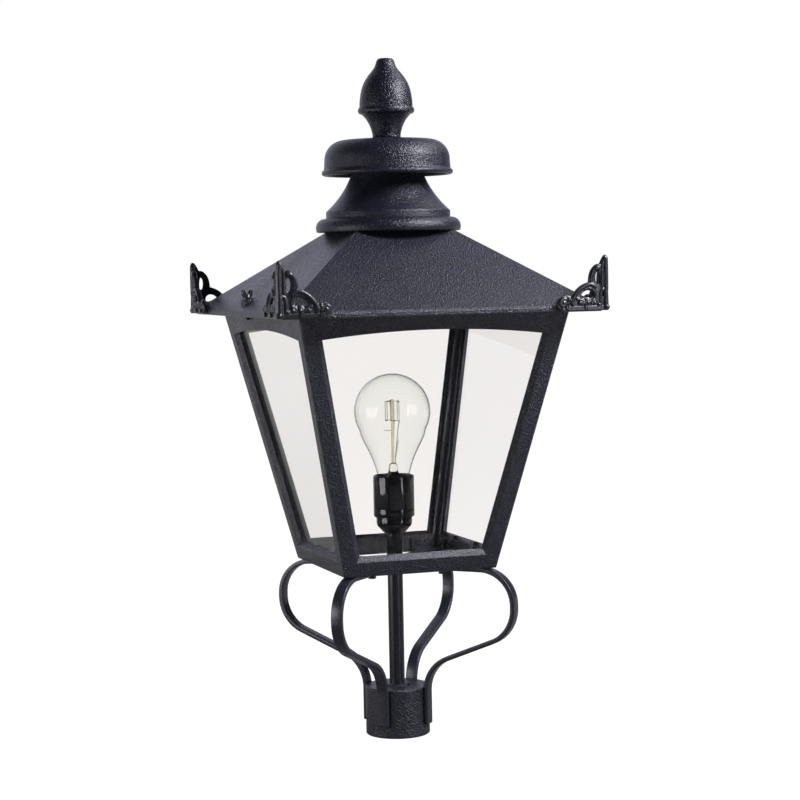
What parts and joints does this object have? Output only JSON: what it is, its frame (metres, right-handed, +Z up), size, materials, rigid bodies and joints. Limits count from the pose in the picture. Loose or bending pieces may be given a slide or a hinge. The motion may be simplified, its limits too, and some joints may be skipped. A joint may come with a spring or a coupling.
{
  "type": "post-top street lantern",
  "caption": "Square tapered post-top street lantern with glass windows, a hinged roof with chimney cap and acorn finial, scroll arms and a socket for a round post.",
  "frame": {"origin": "centre of the mouth of the post socket, where the post end enters", "axes": "+Z up along the post, -Y towards the front window, +X towards the roof hinge, -X towards the thumb screw; the arms and corners lie on the diagonals"},
  "size_m": [0.344, 0.344, 0.703],
  "materials": {
    "cast_body": "fine-textured charcoal powder coat on cast aluminium",
    "painted_steel": "satin black paint on flat steel bar and on the bolts and screws that show",
    "stem_paint": "satin black paint on steel tube",
    "ornament_iron": "semi-gloss black paint on castings",
    "window_glass": "clear flat glass",
    "zinc_steel": "zinc-plated steel fasteners",
    "lampholder_plastic": "glossy black moulding",
    "porcelain": "white ceramic, glazed",
    "brass": "nickel-washed brass",
    "bulb_glass": "clear blown glass",
    "bulb_insulator": "black glass bead",
    "lead_wire": "drawn wire",
    "filament": "drawn tungsten wire"
  },
  "bodies": {
    "lantern": {"post_socket": "cast_body", "socket_grub_screws": "painted_steel", "arm_socket_screws": "painted_steel", "scroll_arm_front_left": "painted_steel", "scroll_arm_front_right": "painted_steel", "scroll_arm_rear_left": "painted_steel", "scroll_arm_rear_right": "painted_steel", "arm_bolts": "painted_steel", "arm_washers": "painted_steel", "arm_nuts": "painted_steel", "base_spider": "cast_body", "spider_screws": "painted_steel", "side_frame_front": "cast_body", "side_frame_rear": "cast_body", "side_frame_left": "cast_body", "side_frame_right": "cast_body", "glass_pane_front": "window_glass", "glass_pane_rear": "window_glass", "glass_pane_left": "window_glass", "glass_pane_right": "window_glass", "pane_clips": "zinc_steel", "pane_clip_screws": "zinc_steel", "head_ring": "cast_body", "head_ring_screws": "painted_steel", "hinge_fixed_leaves": "ornament_iron", "hinge_screws": "painted_steel", "hinge_pins": "painted_steel", "latch_keeper": "ornament_iron", "stem_tube": "stem_paint", "stem_lock_nut": "zinc_steel", "lampholder_base": "lampholder_plastic", "lampholder_skirt": "lampholder_plastic", "lampholder_insert": "porcelain", "lampholder_thread_shell": "brass", "lampholder_centre_contact": "brass"},
    "roof": {"roof_shell": "cast_body", "roof_soffit": "cast_body", "hinge_moving_leaves": "ornament_iron", "hinge_rivets": "painted_steel", "corner_ornament_front_left": "ornament_iron", "corner_ornament_front_right": "ornament_iron", "corner_ornament_rear_left": "ornament_iron", "corner_ornament_rear_right": "ornament_iron", "ornament_screws": "ornament_iron", "chimney_collar": "cast_body", "collar_screws": "zinc_steel", "chimney_cap": "cast_body", "cap_spacer": "zinc_steel", "tie_rod": "zinc_steel", "tie_rod_nut": "zinc_steel"},
    "thumb_screw": {"thumb_screw": "ornament_iron"},
    "finial": {"finial": "cast_body"},
    "bulb": {"bulb_glass": "bulb_glass", "bulb_cap": "brass", "bulb_cap_contact": "bulb_insulator", "bulb_mount": "bulb_glass", "bulb_wires": "lead_wire", "bulb_filament": "filament"}
  },
  "joints": [
    {"name": "roof_hinge", "type": "hinge", "parent": "lantern", "child": "roof", "pos_m": [0.1495, 0, 0.4418], "axis": [0, 1, 0], "range_deg": [0, 100]},
    {"name": "thumb_screw_turn", "type": "hinge", "parent": "roof", "child": "thumb_screw", "pos_m": [-0.153, 0, 0.45], "axis": [0, 0, 1], "continuous": true},
    {"name": "finial_turn", "type": "hinge", "parent": "roof", "child": "finial", "pos_m": [0, 0, 0.63], "axis": [0, 0, 1], "continuous": true},
    {"name": "bulb_turn", "type": "hinge", "parent": "lantern", "child": "bulb", "pos_m": [0, 0, 0.25], "axis": [0, 0, 1], "continuous": true}
  ]
}
